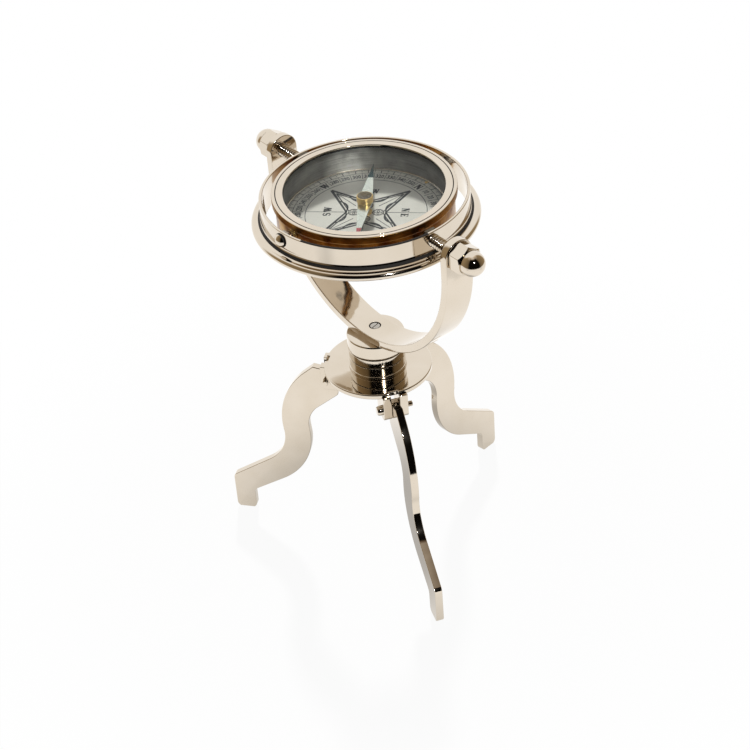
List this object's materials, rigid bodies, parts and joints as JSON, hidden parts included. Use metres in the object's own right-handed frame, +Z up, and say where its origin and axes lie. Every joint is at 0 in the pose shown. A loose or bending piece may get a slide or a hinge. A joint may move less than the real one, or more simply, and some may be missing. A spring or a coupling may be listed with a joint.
{
  "type": "gimbal compass",
  "caption": "Magnetic compass whose glazed bowl stays level in a gimbal ring, carried by a swivelling yoke on a folding tripod.",
  "frame": {"origin": "middle of the bounding box at floor level; the pillar's centre line is 3.4 mm behind it", "axes": "+Z up along the pillar, the front leg points along -Y, and +X is to the right seen from the front"},
  "size_m": [0.1394, 0.152, 0.1966],
  "materials": {
    "nickel": "polished nickel plate on brass",
    "steel": "satin",
    "brass": "polished",
    "needle": "polished, with a blued tip and a red tip",
    "dial_card": "satin silvered, printed in black",
    "glass": "clear, polished",
    "gasket": "matte",
    "jewel": "gloss"
  },
  "bodies": {
    "stand": {"hub_plate": "nickel", "pillar_base": "nickel", "base_screws": "steel", "pillar_collar": "nickel", "hinge_bolts": "nickel"},
    "front_leg": {"leg_front": "nickel"},
    "right_leg": {"leg_right": "nickel"},
    "left_leg": {"leg_left": "nickel"},
    "swivel": {"pillar_head": "nickel", "spindle_washer": "steel", "spindle_nut": "nickel", "yoke": "nickel", "yoke_screw": "steel"},
    "ring": {"gimbal_ring": "nickel", "pivot_rods": "steel", "rod_lock_nuts": "steel", "cap_nuts": "nickel", "bowl_pivot_screws": "nickel", "bowl_pivot_nuts": "steel", "bowl_pivot_spacers": "steel"},
    "bowl": {"bowl_case": "nickel", "pivot_bushes": "brass", "bezel": "nickel", "glass": "glass", "glass_gasket": "gasket", "dial": "dial_card", "dial_rivets": "brass", "needle_post": "brass", "ballast_weight": "steel", "ballast_screw": "steel", "base_cover": "nickel", "cover_screws": "steel"},
    "needle": {"needle_blade": "needle", "needle_cap": "brass", "cap_jewel": "jewel"}
  },
  "joints": [
    {"name": "front_leg_fold", "type": "hinge", "parent": "stand", "child": "front_leg", "pos_m": [0, -0.02112, 0.089], "axis": [1, 0, 0], "range_deg": [-10, 36]},
    {"name": "right_leg_fold", "type": "hinge", "parent": "stand", "child": "right_leg", "pos_m": [0.02122, 0.01563, 0.089], "axis": [-0.5, 0.866, 0], "range_deg": [-10, 36]},
    {"name": "left_leg_fold", "type": "hinge", "parent": "stand", "child": "left_leg", "pos_m": [-0.02122, 0.01563, 0.089], "axis": [-0.5, -0.866, 0], "range_deg": [-10, 36]},
    {"name": "yoke_swivel", "type": "hinge", "parent": "stand", "child": "swivel", "pos_m": [0, 0.00338, 0.11], "axis": [0, 0, 1], "continuous": true},
    {"name": "ring_swing", "type": "hinge", "parent": "swivel", "child": "ring", "pos_m": [0, 0.00338, 0.189], "axis": [0.3778, -0.9259, 0], "continuous": true},
    {"name": "bowl_swing", "type": "hinge", "parent": "ring", "child": "bowl", "pos_m": [0, 0.00338, 0.189], "axis": [0.9259, 0.3778, 0], "continuous": true},
    {"name": "needle_turn", "type": "hinge", "parent": "bowl", "child": "needle", "pos_m": [0, 0.00338, 0.189], "axis": [0, 0, 1], "continuous": true}
  ]
}
